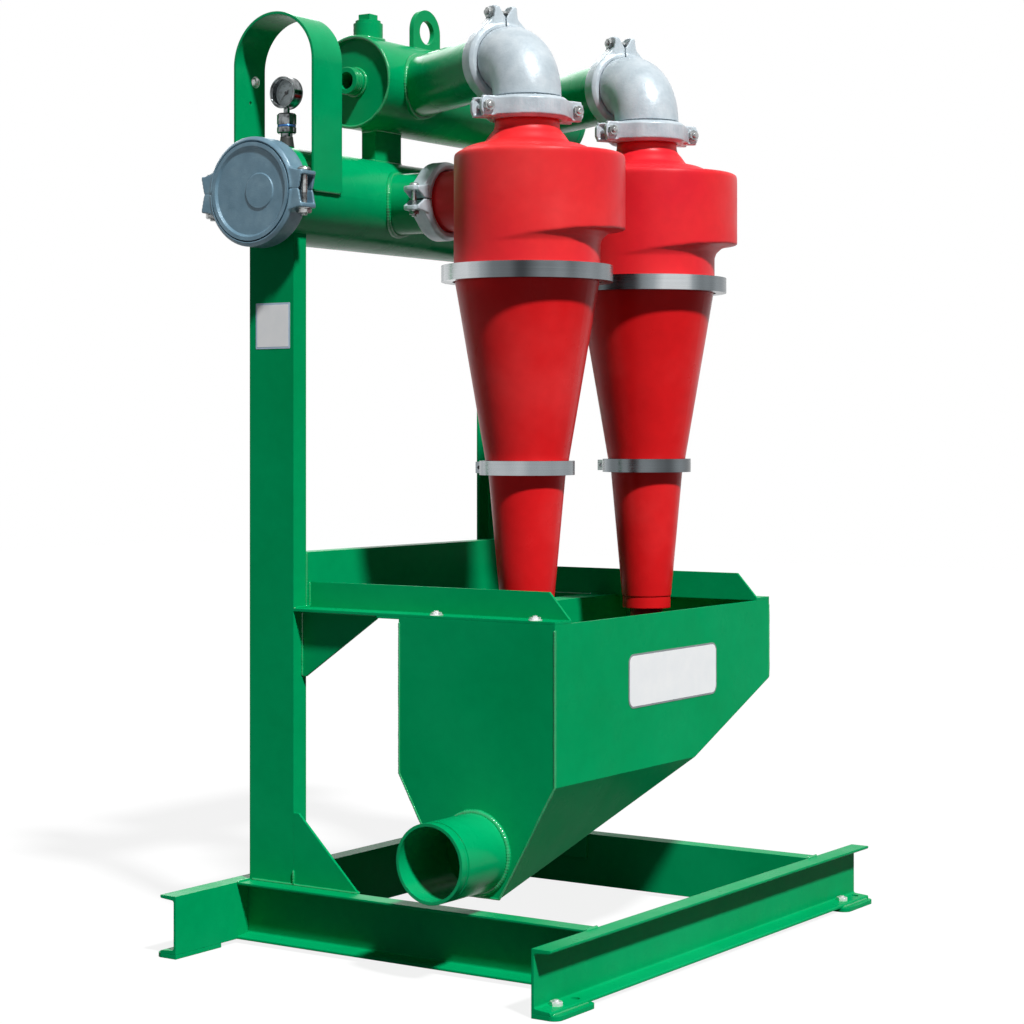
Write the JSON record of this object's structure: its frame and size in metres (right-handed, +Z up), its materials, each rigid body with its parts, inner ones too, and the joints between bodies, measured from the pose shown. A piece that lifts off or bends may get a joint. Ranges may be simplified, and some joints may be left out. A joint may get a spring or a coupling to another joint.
{
  "type": "desander",
  "caption": "Skid-mounted twin hydrocyclone desander: upright cones between feed and overflow manifolds over a sloping hopper, on a welded channel frame.",
  "frame": {"origin": "centre of the four anchor holes, in the plane of the foot pads' undersides (the floor)", "axes": "+Z up; +X from the columns towards the open side of the hopper; -Y towards the capped end of the feed manifold and the hopper outlet"},
  "size_m": [1.0815, 1.422, 2.177],
  "materials": {
    "green_enamel": "gloss enamel",
    "red_enamel": "gloss enamel",
    "galvanised_iron": "cast, galvanised",
    "cap_paint": "satin",
    "clamp_steel": "brushed",
    "zinc_bolts": "zinc plated",
    "gasket_rubber": "matt",
    "liner_polymer": "matt",
    "gauge_steel": "polished",
    "gauge_window": "clear",
    "dial_face": "printed",
    "pointer": "matt black"
  },
  "bodies": {
    "unit": {"cap_coupling": "cap_paint", "column_tie": "green_enamel", "coupling_bolts": "zinc_bolts", "coupling_gaskets": "gasket_rubber", "end_cap": "cap_paint", "feed_manifold": "green_enamel", "foot_bolts": "zinc_bolts", "front_apex": "red_enamel", "front_arm": "green_enamel", "front_arm_gusset": "green_enamel", "front_column": "green_enamel", "front_cross_channel": "green_enamel", "front_elbow": "galvanised_iron", "front_elbow_coupling": "galvanised_iron", "front_foot_gusset": "green_enamel", "front_head": "red_enamel", "front_inlet_coupling": "galvanised_iron", "front_left_foot": "green_enamel", "front_lower_cone": "red_enamel", "front_lower_ring": "clamp_steel", "front_neck_coupling": "galvanised_iron", "front_post": "green_enamel", "front_right_foot": "green_enamel", "front_upper_cone": "red_enamel", "front_upper_ring": "clamp_steel", "front_vortex_finder": "liner_polymer", "gauge_case": "gauge_steel", "gauge_dial": "dial_face", "gauge_glass": "gauge_window", "gauge_guard": "green_enamel", "gauge_seal": "gauge_steel", "hopper": "green_enamel", "hopper_bolts": "zinc_bolts", "left_rail": "green_enamel", "lifting_eye": "green_enamel", "outlet_pipe": "green_enamel", "overflow_manifold": "green_enamel", "rear_apex": "red_enamel", "rear_arm": "green_enamel", "rear_arm_gusset": "green_enamel", "rear_column": "green_enamel", "rear_cross_channel": "green_enamel", "rear_elbow": "galvanised_iron", "rear_elbow_coupling": "galvanised_iron", "rear_foot_gusset": "green_enamel", "rear_head": "red_enamel", "rear_inlet_coupling": "galvanised_iron", "rear_left_foot": "green_enamel", "rear_lower_cone": "red_enamel", "rear_lower_ring": "clamp_steel", "rear_neck_coupling": "galvanised_iron", "rear_post": "green_enamel", "rear_right_foot": "green_enamel", "rear_upper_cone": "red_enamel", "rear_upper_ring": "clamp_steel", "rear_vortex_finder": "liner_polymer", "right_rail": "green_enamel", "vent_plug": "green_enamel"},
    "pointer": {"gauge_pointer": "pointer"}
  },
  "joints": [
    {"name": "pointer_turn", "type": "hinge", "parent": "unit", "child": "pointer", "pos_m": [-0.3995, -0.4595, 1.9125], "axis": [0, 1, 0], "range_deg": [0, 270]}
  ]
}
